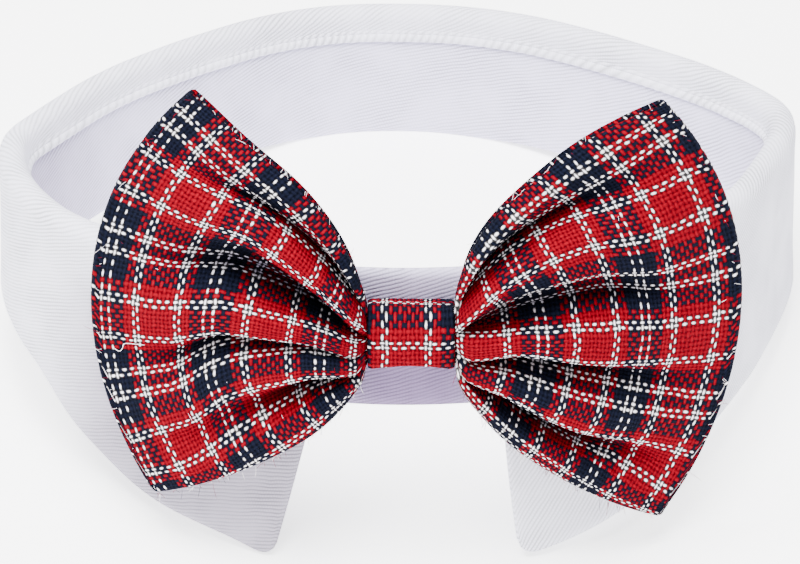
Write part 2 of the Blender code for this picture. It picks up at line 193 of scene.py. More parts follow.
# How the pleats are stacked beside the knot: the height of a yarn above the knot's middle, in millimetres
Pleat = namedtuple("Pleat", "yarn height")
LEFT_PLEATS = table(
    Pleat,
    (0, 5.8), (5, 5.1), (10, 4.4), (17, 3.8), (22, 2.5), (27, 0.9),
    (30, 0.65), (35, 0.3), (40, -0.2), (47, -1.6), (53, -3.0), (58, -3.3),
    (63, -3.7), (68, -4.5), (73, -5.4), (78, -5.65), (86, -6.0), (92, -6.3),
)
RIGHT_PLEATS = table(
    Pleat,
    (0, 6.1), (4, 5.8), (8, 5.3), (11, 5.0), (16, 4.4), (20, 3.2),
    (24, 1.5), (30, 1.2), (33, 1.0), (37, 0.8), (41, 0.6), (44, 0.4),
    (46, -0.5), (52, -3.1), (57, -3.5), (62, -3.8), (67, -4.6), (72, -5.4),
    (78, -5.7), (88, -6.1), (95, -6.6),
)

# Where each stripe of the plaid crosses a loop, by the way out, and the warp yarn there
Stripe = namedtuple("Stripe", "name out yarn")
LEFT_STRIPES = table(
    Stripe,
    ("waist", 0.0, 5.4),
    ("pair_5", 0.054, 9.0),
    ("lines_2", 0.17, 16.5),
    ("pair_4", 0.282, 24.0),
    ("pair_3", 0.444, 34.0),
    ("lines_1", 0.578, 41.5),
    ("pair_2", 0.693, 49.0),
    ("pair_1", 0.852, 59.0),
    ("lines_0", 0.971, 66.5),
    ("end", 1.0, 68.3),
)
RIGHT_STRIPES = table(
    Stripe,
    ("waist", 0.0, 22.7),
    ("pair_5", 0.02, 24.0),
    ("pair_4", 0.177, 34.0),
    ("lines_1", 0.30, 41.5),
    ("pair_3", 0.42, 49.0),
    ("pair_2", 0.56, 59.0),
    ("lines_0", 0.665, 66.5),
    ("pair_1", 0.77, 74.0),
    ("pair_0", 0.93, 84.0),
    ("end", 1.0, 88.4),
)
WARP_SETT = (
    ("red", 8), ("white", 2), ("red", 2), ("navy", 3), ("white", 1),
    ("navy", 1), ("white", 1), ("navy", 3), ("red", 2), ("white", 2),
)
WEFT_SETT = (
    ("red", 6), ("white", 2), ("red", 2), ("navy", 4), ("white", 2),
    ("navy", 2), ("white", 2), ("navy", 4), ("red", 2), ("white", 2),
)
# Half the width of a warp and of a weft yarn, as a share of the room it has
WARP_HALF = 0.28
WEFT_HALF = 0.27
# How much less of its room half a white yarn takes
WHITE_THINNER = 0.04
# How bright the gap beside a coloured and beside a white yarn is: partly the dark seen between the yarns,
# partly painted shade
GAP_TONE = 0.36
WHITE_GAP_TONE = 0.03
# The weft yarn of the sett at each loop's top edge
LEFT_WEFT_START = 10.0
RIGHT_WEFT_START = 11.0
# How many yarns the outer lower corner of a loop is cut short by
CORNER_YARNS = 6.0

# The loose thread on the left loop: places by the way out and the yarn, and millimetres off the cloth
Snag = namedtuple("Snag", "share yarn lift")
LOOSE_THREAD = table(
    Snag,
    (0.955, 57.0, 0.7), (0.935, 57.6, 0.9), (0.92, 56.6, 1.0), (0.915, 55.4, 1.1),
    (0.90, 55.2, 1.0), (0.86, 55.3, 0.9), (0.83, 55.6, 0.6),
)
THREAD_RADIUS = 0.055 * MM
FIBRE_RADIUS = 0.03 * MM
FIBRES_A_SIDE = 240
FIBRE_SEED = 11
# How widely the fibres lean and curl, how long they are in millimetres, and where each one bends
FIBRE_LEAN = 0.55
FIBRE_CURL = 0.35
FIBRE_REACH = (0.4, 1.2)
FIBRE_BENDS = (0, 0.2, 0.4, 0.6, 0.8, 1)
# Which of the three colours a thread takes: red up to the first, white up to the second, then navy
WHITE_FROM = 0.45
NAVY_FROM = 0.85
THREAD_TINT = 0.6
THREAD_SIDES = 4

# The colours of the painted shade: what a colour is multiplied by where its painted shade is full. The stand's
# and the leaf's are mauve, for the bow's red light in their shade
PLAID_PAINTED_SHADE = (0.14, 0.13, 0.17, 1.0)
STAND_PAINTED_SHADE = (0.30, 0.225, 0.32, 1.0)
LEAF_PAINTED_SHADE = (0.34, 0.30, 0.34, 1.0)
# The shade on each side of the stand: its middle and its reach, as shares of the way round, and its depth
SideShade = namedtuple("SideShade", "name middle reach depth")
SIDE_SHADES = (SideShade("left", 0.74, 0.1, 0.42), SideShade("right", 0.24, 0.1, 0.2))
# The relief, in millimetres, at which a valley of the bow has its full painted shade
FULL_SHADE_RELIEF = 2.2

# The share of the leaf's rows that lie at the seam, and how far down they reach
SEAM_ROWS = 0.25
SEAM_REACH = 2.4 * MM
# How deep the leaf is tucked in below the seam
TUCK = 0.45 * MM
# How much closer the leaf's columns lie at its two points
CROWDING = 0.018
# The ridge along the seam: the slope and the end of its bead, its stitches and where it has gone
BEAD_SLOPE = 0.35 * MM
BEAD_END = 0.45 * MM
STITCH = 1.9 * MM
RIDGE_END = 1.4 * MM

# Gaps between the stand and the leaf at the seam, the bow and the leaf, the knot and its neighbours
SEAM_GAP = 0.3 * MM
BOW_GAP = 0.8 * MM
KNOT_GAP = 0.35 * MM
KNOT_BACK_GAP = 0.3 * MM

# How much of its wall a sheet's edge has, and over how many rows it thickens
EDGE_THICKNESS = 0.45
EDGE_ROWS = 1.6
# Vertices that lie closer than this, in metres, are one
MERGE = 0.000001

# The columns and the rows of each sheet's grid
STAND_GRID = (480, 16)
LEAF_GRID = (560, 72)
KNOT_GRID = (96, 40)
# The bow's grid: steps out on each front panel, on each back panel and round an end, and rows down
FRONT_STEPS = 84
BACK_STEPS = 30
END_STEPS = 6
BOW_ROWS = 132
# How much closer the front panels' steps lie at the waist
CLOSER_AT_WAIST = 1.25
# The warp yarns that a folded end takes
END_YARNS = 4
# How much lower than the knot the waist is, and how much less a folded end swells at its corners
WAIST_MARGIN = 1.35 * MM
WAIST_PINCH = 0.06
END_PINCH = 0.6
# How far out the knot grips the pleats, and how far out they stay stacked, as shares of a loop
PLEAT_GRIP = 0.045
PLEAT_REACH = 0.24

# The knot's plaid: the warp yarn at its left edge, its yarns across, the weft yarn in the middle of its
# front, and the room of a yarn above and below that
KNOT_WARP_START = 20.1
KNOT_WARPS = 20
KNOT_WEFT = 26.3
KNOT_YARN_ABOVE = 1.04 * MM
KNOT_YARN_BELOW = 0.79 * MM

# The room of a twill rib, in millimetres
RIB_PITCH = 0.64
# How dark the grooves between the ribs are painted: painted shade
STAND_CONTRAST = 0.6
LEAF_CONTRAST = 0.62
# How far before the leaf's edge the stand's top starts to rise at the front, and over how long
RISE_GAP = 0.5 * MM
RISE_LENGTH = 1.2 * MM
# The shade at the front of the stand and at the leaf's points: its full width and its fade
FRONT_SHADE = 4 * MM
FRONT_FADE = 26 * MM
POINT_SHADE = 28 * MM
POINT_FADE = 22 * MM
# The painted shadow line above the seam's ridge, and its width
RIDGE_SHADOW = 0.6 * MM
RIDGE_SHADOW_WIDTH = 0.22 * MM
# The leaf's faint ripples and the knot's puckers: their height, length and seed
Ripple = namedtuple("Ripple", "height length seed")
LEAF_RIPPLE = Ripple(0.12 * MM, 9 * MM, 3.0)
KNOT_PUCKER = Ripple(0.15 * MM, 2.5 * MM, 8.0)
# The wrap's wall, the room for the pleats under it and how square its outline is: 1 is an ellipse
WRAP_WALL = 1.0 * MM
PLEAT_ROOM = 0.475 * MM
SQUARENESS = 0.4
# How far the wrap's top slopes down to the right, its lower edge is arched and its front is domed
WRAP_SLOPE = 1.0 * MM
WRAP_ARCH = 0.7 * MM
WRAP_DOME = 0.35 * MM
# The points that the stand's ring is measured at, and those of a way along the wrap
RING_POINTS = 720
WRAP_POINTS = 24
FLOOR_SIZE = 3.0
# The roughness of all surfaces, and how strongly their relief shows
ROUGHNESS = 0.9
BUMP_STRENGTH = 0.8


def number(name, about, value, **kind):
    """A number for the sidebar."""
    return FloatProperty(name=name, description=about, default=value, **kind)


def metres(name, about, value):
    """A length for the sidebar."""
    return number(name, about, value, unit="LENGTH")


def degrees(name, about, value):
    """An angle for the sidebar."""
    return number(name, about, math.radians(value), subtype="ANGLE")


def paint(name, about, value):
    """A colour for the sidebar."""
    return FloatVectorProperty(name=name, description=about, default=value, size=3, subtype="COLOR")


class CollarSizes(bpy.types.PropertyGroup):
    """The collar's own sizes."""

    half_width: metres("Half width", "Half the fold's width", 0.064)
    half_depth: metres("Half depth", "Half the fold's depth", 0.0528)
    stand_wall: metres("Stand wall", "Thickness of the stand", 0.0016)
    leaf_wall: metres("Leaf wall", "Thickness of the leaf", 0.0012)
    fall_clearance: metres("Fall clearance", "Room between the stand and the leaf", 0.0018)
    seam_drop: metres("Seam drop", "How far the seam lies below the fold", 0.0055)
    stand_height: metres("Stand height", "Height of the stand below the seam", 0.0184)
    front_drop: metres("Front drop", "Top of the bare front below the fold", 0.0005)
    point_drop: metres("Point drop", "How far the points hang below the fold", 0.0498)
    point_radius: metres("Point radius", "Rounding of the two points", 0.0035)
    point_flare: metres("Point flare", "How far the points stand away", 0.004)
    side_flare: metres("Side flare", "How far the sides stand away", 0.0008)
    flare_reach: metres("Flare reach", "How far round the points' flare reaches", 0.05)
    settle: metres("Settle", "How far the cloth flattens where it rests", 0.0004)


class BowSizes(bpy.types.PropertyGroup):
    """The bow's own sizes."""

    knot_x: metres("Knot across", "Middle of the knot", 0.0017)
    knot_drop: metres("Knot drop", "Knot's middle below the fold", 0.0079)
    knot_width: metres("Knot width", "Width of the knot", 0.0133)
    knot_height: metres("Knot height", "Height of the knot", 0.0121)
    knot_back: metres("Knot back", "Height of the knot behind", 0.0068)
    left_length: metres("Left loop", "Length of the left loop", 0.0413)
    right_length: metres("Right loop", "Length of the right loop", 0.043)
    waist_spread: metres("Waist spread", "Half the height that the folds start from", 0.006)
    wall: metres("Bow wall", "Thickness of the bow's cloth", 0.001)
    sweep: metres("Sweep", "How far back the loops' ends lie", 0.009)
    waist_gap: metres("Waist gap", "Between the panels at the waist", 0.0022)
    end_gap: metres("End gap", "Between the panels at the ends", 0.002)
    front_bulge: metres("Front bulge", "Swell of the front panel", 0.004)
    back_bulge: metres("Back bulge", "Swell of the back panel", 0.0006)
    front_lift: metres("Front lift", "Rise of the front panel", 0.0013)
    back_sag: metres("Back sag", "Drop of the back panel", 0.0013)
    fold_strength: number("Fold strength", "How deep the folds are", 1.9, min=0.1)


class ClothColours(bpy.types.PropertyGroup):
    """The colours of the yarns."""

    # The two whites are one cloth: both are tinted lavender for the bluish shade on it, and the stand's is
    # darker for the shade on the inner band: painted shade
    leaf: paint("Leaf", "White twill outside", (0.68, 0.675, 0.76))
    stand: paint("Stand", "White twill inside", (0.61, 0.585, 0.75))
    red: paint("Red yarn", "The plaid's red", (0.165, 0.0, 0.006))
    navy: paint("Navy yarn", "The plaid's navy", (0.004, 0.005, 0.012))
    white: paint("White yarn", "The plaid's white", (0.95, 0.9, 0.93))


class StageSettings(bpy.types.PropertyGroup):
    """Floor, lights and camera."""

    floor: paint("Floor", "Floor colour", (0.92, 0.92, 0.92))
    glow: number("Glow", "Light that the white ground gives", 2.0, min=0.0)
    key: number("Key light", "Power of the main soft light", 60.0, unit="POWER")
    fill: number("Fill light", "Power of the second soft light", 12.0, unit="POWER")
    sky: number("Sky", "Strength of the even light", 0.9, min=0.0)
    distance: metres("Distance", "Camera's way from the collar", 0.65)
    view_angle: degrees("View angle", "Camera above the plane of the fold", 24.4)
    aim_below: degrees("Aim below", "Camera's aim below the fold's middle", 2.28)
    lens: number("Lens", "Focal length in millimetres", 175.95, min=1.0)


def curve_through(knots, values):
    """A smooth curve through the knots that doesn't overshoot them, as a function."""
    steps = [b - a for a, b in zip(knots, knots[1:])]
    rises = [(b - a) / h for a, b, h in zip(values, values[1:], steps)]
    slopes = [rises[0]]
    for before, after in zip(rises, rises[1:]):
        together = before * after > 0
        slopes.append(2 * before * after / (before + after) if together else 0.0)
    slopes.append(rises[-1])

    def read(x):
        x = min(max(x, knots[0]), knots[-1])
        i = 0
        while i < len(steps) - 1 and x > knots[i + 1]:
            i += 1
        h = steps[i]
        t = (x - knots[i]) / h
        near = (1 + 2 * t) * (1 - t) ** 2 * values[i] + t * (1 - t) ** 2 * h * slopes[i]
        far = t * t * (3 - 2 * t) * values[i + 1] + t * t * (t - 1) * h * slopes[i + 1]
        return near + far

    return read


def ease(x):
    """0 below 0, 1 above 1 and smooth between."""
    x = min(max(x, 0.0), 1.0)
    return x * x * (3 - 2 * x)


def rippled(ripple, across, along):
    """How high a ripple stands at a place in the cloth."""
    place = Vector((across / ripple.length, along / ripple.length, ripple.seed))
    return ripple.height * noise.noise(place)


class Grain:
    """A long strip of cloth laid flat so that its ribs lie level: where a point of it lies."""

    STEPS = 400

    def __init__(self, slants, length):
        self.length = length
        self.slant = curve_through([s.share for s in slants], [math.radians(s.angle) for s in slants])
        self.marks = [Vector((0.0, 0.0))]
        for k in range(self.STEPS):
            angle = self.slant((k + 0.5) / self.STEPS)
            step = Vector((math.cos(angle), math.sin(angle))) * length / self.STEPS
            self.marks.append(self.marks[-1] + step)

    def at(self, share, down):
        """The place in the flat cloth, in millimetres,, a share of the way round and a way down."""
        step = min(share * self.STEPS, self.STEPS - 0.0001)
        mark = self.marks[int(step)].lerp(self.marks[int(step) + 1], step % 1)
        angle = self.slant(share)
        flat = mark + Vector((-math.sin(angle), math.cos(angle))) * down
        return flat.x / MM, flat.y / MM


class Collar:
    """The closed line of the fold, read by the way along it from the knot to the right, and its sections."""

    STEPS = 24
    SMOOTHING = 12

    def __init__(self, sizes, knot_x):
        self.sizes = sizes
        self.roll = (sizes.stand_wall / 2 + sizes.leaf_wall / 2 + sizes.fall_clearance) / 2
        self.roll_drop = self.roll + sizes.leaf_wall / 2
        self.stand_top = sizes.seam_drop + SEAM_GAP
        self.stand_bottom = self.stand_top + sizes.stand_height
        marks = [Vector((s.across * sizes.half_width, s.back * sizes.half_depth)) for s in PLAN]
        line = []
        for i, mark in enumerate(marks):
            before, after, later = marks[i - 1], marks[(i + 1) % len(marks)], marks[(i + 2) % len(marks)]
            for k in range(self.STEPS):
                t = k / self.STEPS
                bend = (2 * before - 5 * mark + 4 * after - later) * t * t
                twist = (3 * mark - before - 3 * after + later) * t ** 3
                line.append(mark + ((after - before) * t + bend + twist) / 2)
        for _ in range(self.SMOOTHING):
            line = [(line[i - 1] + 2 * p + line[(i + 1) % len(line)]) / 4 for i, p in enumerate(line)]
        front = [i for i, p in enumerate(line) if p.y < 0]
        start = min(front, key=lambda i: abs(line[i].x - knot_x))
        self.line = line[start:] + line[:start]
        self.ways = [0.0]
        for i, p in enumerate(self.line):
            self.ways.append(self.ways[-1] + (self.line[(i + 1) % len(self.line)] - p).length)
        self.length = self.ways[-1]

    def at(self, way):
        """The point and the outward direction, way metres along the line."""
        way %= self.length
        low, high = 0, len(self.line)
        while high - low > 1:
            middle = (low + high) // 2
            if self.ways[middle] <= way:
                low = middle
            else:
                high = middle
        share = (way - self.ways[low]) / (self.ways[low + 1] - self.ways[low])
        count = len(self.line)
        point = self.line[low].lerp(self.line[(low + 1) % count], share)
        here = self.line[(low + 3) % count] - self.line[low - 2]
        after = self.line[(low + 4) % count] - self.line[low - 1]
        ahead = here.lerp(after, share)
        return point, Vector((ahead.y, -ahead.x)).normalized()

    def out(self, way, offset, z):
        """The point at a way along the line, an offset outside it and a height z."""
        point, outward = self.at(way)
        point = point + outward * offset
        return Vector((point.x, point.y, z))

    def edge_way(self, edge, share):
        """How far from the knot's middle a front edge lies, a share of the way down it."""
        return edge.start + edge.slant * share ** edge.bend

    def leaf_drop(self, way, whole):
        """How far below the fold the leaf's lower edge lies, with the point's corner rounded."""
        table = RIGHT_DROP if way < whole / 2 else LEFT_DROP
        way = min(way, whole - way)
        shape = curve_through([d.way for d in table], [d.drop for d in table])
        inside = max(0.0, 1 - way / self.sizes.point_radius)
        rounding = self.sizes.point_radius * (1 - math.sqrt(max(0.0, 1 - inside * inside)))
        return self.sizes.point_drop * shape(way / (whole / 2)) - rounding

    def floor_plane(self):
        """The slope and the height at y = 0 of the plane that the collar rests on."""
        back = self.out(self.length / 2, -self.roll, -self.stand_bottom)
        front = -self.edge_way(LEFT_EDGE, 1)
        point = self.out(front, self.roll + self.sizes.point_flare, -self.sizes.point_drop)
        slope = (back.z - point.z) / (back.y - point.y)
        return slope, back.z + self.sizes.settle - slope * back.y

    def bow_front(self, bow):
        """How far forward the middle of the bow's waist lies, clear of the leaf behind its loops."""
        leaf_face = self.roll + self.sizes.leaf_wall / 2
        return self.at(0)[0].y - leaf_face - BOW_GAP - bow.waist_gap / 2 - bow.wall / 2 - bow.back_bulge


def shape_of(context):
    """The collar's line and sections, at the sizes in the sidebar."""
    return Collar(context.scene.collar_sizes, context.scene.bow_sizes.knot_x)


def resting(collar):
    """The turn and the shift that stand the collar on the floor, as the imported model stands."""
    slope, level = collar.floor_plane()
    turn = Matrix.Rotation(-math.atan(slope), 4, "X")
    ring = [turn @ stand_point(collar, k / RING_POINTS, d) for k in range(RING_POINTS) for d in (0.0, 1.0)]
    wall = collar.sizes.stand_wall / 2
    low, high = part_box("neck_band")
    across = (low.x + high.x) / 2 - (min(p.x for p in ring) + max(p.x for p in ring)) / 2
    back = high.y - wall * math.cos(math.atan(slope)) - max(p.y for p in ring)
    return Matrix.Translation((across, back, -level * math.cos(math.atan(slope)))) @ turn


def object_of(mesh, name):
    """An object in the scene that holds a finished bmesh."""
    data = bpy.data.meshes.new(name)
    mesh.to_mesh(data)
    mesh.free()
    data.shade_smooth()
    piece = bpy.data.objects.new(name, data)
    bpy.context.scene.collection.objects.link(piece)
    return piece


def flat_sheet(name, grid, place, weave, wall, closed=True, hollow=None):
    """A sheet of cloth: a flat grid whose points go to their places, with the weave as its UV map and its
    painted shade stored at its points.
    """
    columns, rows = grid
    mesh = bmesh.new()
    bmesh.ops.create_grid(mesh, x_segments=columns, y_segments=rows, size=0.5)
    chart = mesh.loops.layers.uv.new("weave")
    flat = {v: (min(max(v.co.x + 0.5, 0.0), 1.0), min(max(v.co.y + 0.5, 0.0), 1.0)) for v in mesh.verts}
    for face in mesh.faces:
        for loop in face.loops:
            loop[chart].uv = weave(*flat[loop.vert])
    for vertex, (across, down) in flat.items():
        vertex.co = place(across, down)
    if closed:
        bmesh.ops.remove_doubles(mesh, verts=mesh.verts, dist=MERGE)
    bmesh.ops.recalc_face_normals(mesh, faces=mesh.faces)
    charts = [flat[vertex] for vertex in mesh.verts]
    piece = object_of(mesh, name)
    # Painted shade: how dark each point is painted, read by the material
    depth = piece.data.attributes.new("hollow", "FLOAT", "POINT")
    for k, (across, down) in enumerate(charts):
        depth.data[k].value = hollow(across, down) if hollow else 0.0
    # The group comes after the attribute is filled, because it moves the mesh's layers
    thin = piece.vertex_groups.new(name="thickness")
    for k, (across, down) in enumerate(charts):
        rows_in = min(down, 1 - down) * rows
        columns_in = columns if closed else min(across, 1 - across) * columns
        full = ease(min(rows_in, columns_in) / EDGE_ROWS)
        thin.add([k], EDGE_THICKNESS + (1 - EDGE_THICKNESS) * full, "REPLACE")
    body = piece.modifiers.new("Cloth", "SOLIDIFY")
    body.thickness = wall
    body.offset = 0.0
    body.vertex_group = thin.name
    return piece


def settle_on_floor(piece):
    """Flattens the cloth where it would pass below the floor."""
    for vertex in piece.data.vertices:
        vertex.co.z = max(vertex.co.z, 0.0)


class Recipe:
    """A material whose nodes are added one after another."""

    def __init__(self, name):
        self.material = bpy.data.materials.new(name)
        self.material.use_nodes = True
        self.tree = self.material.node_tree
        self.surface = self.tree.nodes["Principled BSDF"]

    def put(self, value, socket):
        """Links a socket or sets a number."""
        if isinstance(value, bpy.types.NodeSocket):
            self.tree.links.new(value, socket)
        else:
            socket.default_value = value

    def node(self, kind, inputs=None, **settings):
        """Adds one node."""
        node = self.tree.nodes.new(kind)
        for key, value in settings.items():
            setattr(node, key, value)
        for key, value in (inputs or {}).items():
            self.put(value, node.inputs[key])
        return node

    def maths(self, operation, *values):
        """Adds a Math node and gives its output."""
        node = self.node("ShaderNodeMath", operation=operation)
        for socket, value in zip(node.inputs, values):
            self.put(value, socket)
        return node.outputs[0]

    def mix(self, kind, factor, first, second):
        """Blends two colours in one of the Mix node's ways."""
        node = self.node("ShaderNodeMix", data_type="RGBA", blend_type=kind)
        for place, value in ((0, factor), (6, first), (7, second)):
            self.put(value, node.inputs[place])
        return node.outputs[2]

    def shade(self, colour, amount):
        """A colour made darker or lighter by a number."""
        grey = self.node("ShaderNodeCombineColor", {"Red": amount, "Green": amount, "Blue": amount})
        return self.mix("MULTIPLY", 1.0, colour, grey.outputs[0])

    def add_painted_shade(self, colour, painted_shade_colour):
        """A colour darkened by painted shade: multiplied by another colour as far as the shade stored at each
        point says.
        """
        # The painted shade stored at each point
        depth = self.node("ShaderNodeAttribute", attribute_name="hollow")
        return self.mix("MULTIPLY", depth.outputs[2], colour, painted_shade_colour)

    def chart(self, name):
        """A UV map, and its two coordinates."""
        chart = self.node("ShaderNodeUVMap", uv_map=name)
        parts = self.node("ShaderNodeSeparateXYZ", {"Vector": chart.outputs[0]})
        return chart.outputs[0], parts.outputs[0], parts.outputs[1]

    def cloud(self, vector, scale, detail=2.0):
        """Noise from 0 to 1."""
        cloud = self.node("ShaderNodeTexNoise", {"Vector": vector, "Scale": scale, "Detail": detail})
        return cloud.outputs[0]

    def astray(self, value, cloud, reach):
        """A coordinate that a cloud moves to and fro."""
        return self.maths("MULTIPLY_ADD", self.maths("SUBTRACT", cloud, 0.5), reach, value)

    def rescale(self, value, low, high, to_low, to_high):
        """Maps a range to another."""
        node = self.node("ShaderNodeMapRange")
        for socket, bound in zip(node.inputs, (value, low, high, to_low, to_high)):
            self.put(bound, socket)
        return node.outputs[0]

    def finish(self, colour, gloss, relief=None, depth=0.0):
        """Gives the surface its colour, gloss and relief, depth metres deep, and returns the material."""
        inputs = self.surface.inputs
        self.put(colour, inputs["Base Color"])
        inputs["Roughness"].default_value = ROUGHNESS
        inputs["Specular IOR Level"].default_value = gloss
        if relief is not None:
            shape = {"Height": relief, "Strength": BUMP_STRENGTH, "Distance": depth}
            self.put(self.node("ShaderNodeBump", shape).outputs[0], inputs["Normal"])
        return self.material


def with_alpha(colour):
    """A colour with its alpha."""
    return (colour[0], colour[1], colour[2], 1.0)


def yarn_colour(recipe, sett, colours, count):
    """The colour of a yarn by its number: a row of plain steps, one for each stripe."""
    total = sum(width for _, width in sett)
    share = recipe.maths("DIVIDE", recipe.maths("FLOORED_MODULO", count, total), total)
    share = recipe.maths("ADD", share, 0.5 / total)
    ramp = recipe.node("ShaderNodeValToRGB", {"Fac": share})
    ramp.color_ramp.interpolation = "CONSTANT"
    start = 0
    for k, (name, width) in enumerate(sett):
        steps = ramp.color_ramp.elements
        step = steps[k] if k < 2 else steps.new(start / total)
        step.position = start / total
        step.color = with_alpha(getattr(colours, name))
        start += width
    return ramp.outputs[0]


def plaid(name, colours):
    """Plain weave of thick yarns, each over and under the next with gaps between, in the two setts, with
    painted shade on the yarns' edges and in the bow's valleys.
    """
    recipe = Recipe(name)
    maths = recipe.maths
    chart, across, down = recipe.chart("weave")
    across = recipe.astray(across, recipe.cloud(chart, 0.3), 0.8)
    down = recipe.astray(down, recipe.cloud(chart, 0.24), 0.8)
    warp, weft = maths("FLOOR", across), maths("FLOOR", down)
    from_warp = maths("SUBTRACT", maths("FRACT", across), 0.5)
    from_weft = maths("SUBTRACT", maths("FRACT", down), 0.5)
    turn = maths("FLOORED_MODULO", maths("ADD", warp, weft), 2.0)
    over = maths("MULTIPLY_ADD", turn, -2.0, 1.0)

    def whiteness(colour):
        """1 for a white yarn and 0 for the others, which have little green."""
        parts = recipe.node("ShaderNodeSeparateColor", {"Color": colour})
        return maths("GREATER_THAN", parts.outputs[1], 0.3)

    def crown(value, half_width, colour):
        """Highest along the yarn's middle, 0 at its edge and below 0 in the gap beside it."""
        half = maths("MULTIPLY_ADD", whiteness(colour), -WHITE_THINNER, half_width)
        share = maths("DIVIDE", value, half)
        return maths("MULTIPLY", maths("SUBTRACT", 1.0, maths("MULTIPLY", share, share)), 0.45)

    def wave(value):
        """The rise of a yarn over the one that it crosses."""
        return maths("COSINE", maths("MULTIPLY", value, math.pi))

    warp_colour = yarn_colour(recipe, WARP_SETT, colours, warp)
    weft_colour = yarn_colour(recipe, WEFT_SETT, colours, weft)
    lift = maths("MULTIPLY", over, 0.5)
    sunk = maths("MULTIPLY", lift, -1.0)
    warp_height = maths("MULTIPLY_ADD", lift, wave(from_weft), crown(from_warp, WARP_HALF, warp_colour))
    weft_height = maths("MULTIPLY_ADD", sunk, wave(from_warp), crown(from_weft, WEFT_HALF, weft_colour))
    weft_on_top = maths("GREATER_THAN", weft_height, warp_height)
    height = maths("MAXIMUM", warp_height, weft_height)
    colour = recipe.mix("MIX", weft_on_top, warp_colour, weft_colour)

    crossing = recipe.node("ShaderNodeCombineXYZ", {"X": warp, "Y": weft, "Z": weft_on_top})
    chance = recipe.node("ShaderNodeTexWhiteNoise", {"Vector": crossing.outputs[0]}, noise_dimensions="3D")
    uneven = maths("MULTIPLY_ADD", chance.outputs[0], 0.26, 0.87)
    white = whiteness(colour)
    # Painted shade of the weave: each yarn darker towards its edges and in the gap beside it, by its height,
    # darkest beside a white yarn; the gaps are also really dark
    lowest = maths("MULTIPLY_ADD", white, 0.55, -0.3)
    gap_tone = maths("MULTIPLY_ADD", white, WHITE_GAP_TONE - GAP_TONE, GAP_TONE)
    depth = recipe.rescale(height, lowest, 0.8, gap_tone, 1.05)
    mottle = recipe.rescale(recipe.cloud(chart, 1.7, 3.0), 0.3, 0.7, 0.8, 1.15)
    tone = maths("MULTIPLY", maths("MULTIPLY", depth, mottle), uneven)
    relief = maths("MULTIPLY_ADD", recipe.cloud(chart, 7.0, 3.0), 0.3, height)
    return recipe.finish(recipe.add_painted_shade(recipe.shade(colour, tone), PLAID_PAINTED_SHADE), 0.02, relief, 0.24 * MM)


def twill(name, colour, contrast, painted_shade_colour):
    """White cotton twill: fine ribs, cut across by the yarns that pass over them, with painted shade in the
    grooves between the ribs.
    """
    recipe = Recipe(name)
    maths = recipe.maths
    chart, across, down = recipe.chart("weave")

    def hump(value):
        """A rounded rise from each whole number to the next."""
        return maths("SINE", maths("MULTIPLY", maths("FRACT", value), math.pi))

    rib = recipe.astray(maths("DIVIDE", down, RIB_PITCH), recipe.cloud(chart, 0.22), 0.9)
    yarn = maths("MULTIPLY_ADD", maths("FLOOR", rib), 0.37, maths("DIVIDE", across, RIB_PITCH * 0.8))
    height = maths("MULTIPLY", hump(rib), maths("MULTIPLY_ADD", hump(yarn), 0.3, 0.7))
    patchy = recipe.rescale(recipe.cloud(chart, 0.1, 3.0), 0.35, 0.65, 0.35, 1.0)
    # Painted shade in the grooves between the ribs, and painted light on their tops
    groove_shade = maths("MULTIPLY", maths("SUBTRACT", 1.0, height), patchy)
    tone = maths("MULTIPLY_ADD", groove_shade, -contrast, 1.0 + contrast * 0.25)
    cloud = recipe.rescale(recipe.cloud(chart, 0.05, 3.0), 0.3, 0.7, 0.95, 1.03)
    shaded = recipe.shade(with_alpha(colour), maths("MULTIPLY", tone, cloud))
    recipe.surface.inputs["Sheen Weight"].default_value = 0.04
    return recipe.finish(recipe.add_painted_shade(shaded, painted_shade_colour), 0.1, maths("MULTIPLY", height, patchy), 0.15 * MM)


def dress(piece, node, material):
    """Gives a piece its material and its place in the model."""
    piece.data.materials.append(material)
    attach(piece, "root")
    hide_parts(node)


def stand_top(collar, way):
    """How far below the fold the stand's top edge lies: it rises where no leaf lies over it."""
    if way > collar.length / 2:
        way -= collar.length
    edge = RIGHT_EDGE.start if way > 0 else LEFT_EDGE.start
    rise = ease((edge - RISE_GAP - abs(way)) / RISE_LENGTH)
    return collar.stand_top + (collar.sizes.front_drop - collar.stand_top) * rise


def stand_point(collar, across, down):
    """A point of the stand, by its way round and its way down."""
    way = across * collar.length
    top = stand_top(collar, way)
    z = -(top + (collar.stand_bottom - top) * down)
    return collar.out(way, -collar.roll, z)


class BOWCOLLAR_OT_stand(bpy.types.Operator):
    """Makes the stand, the closed band round the neck"""

    bl_idname = "bowcollar.stand"
    bl_label = "Stand"

    def execute(self, context):
        collar = shape_of(context)
        place = resting(collar)

        def point(across, down):
            return place @ stand_point(collar, across, down)

        strip = Grain(STAND_SLANT, collar.length)

        def weave(across, down):
            top = stand_top(collar, across * collar.length)
            return strip.at(across, top + down * (collar.stand_bottom - top))

        def hollow(across, down):
            """Painted shade: on the front of the band, which lies deep between the bow's loops, and a little on
            the two sides.
            """
            way = min(across, 1 - across) * collar.length
            between = 1 - ease((way - FRONT_SHADE) / FRONT_FADE)
            sides = sum(s.depth * (1 - ease(abs(across - s.middle) / s.reach)) for s in SIDE_SHADES)
            return sides + between * (0.62 + 0.38 * ease(down * 1.5)) * (0.55 + 0.45 * ease(down * 18))

        piece = flat_sheet("stand_cloth", STAND_GRID, point, weave, collar.sizes.stand_wall, hollow=hollow)
        settle_on_floor(piece)
        material = twill("white_twill_inside", context.scene.cloth_colours.stand, STAND_CONTRAST, STAND_PAINTED_SHADE)
        dress(piece, "neck_band", material)
        return {"FINISHED"}


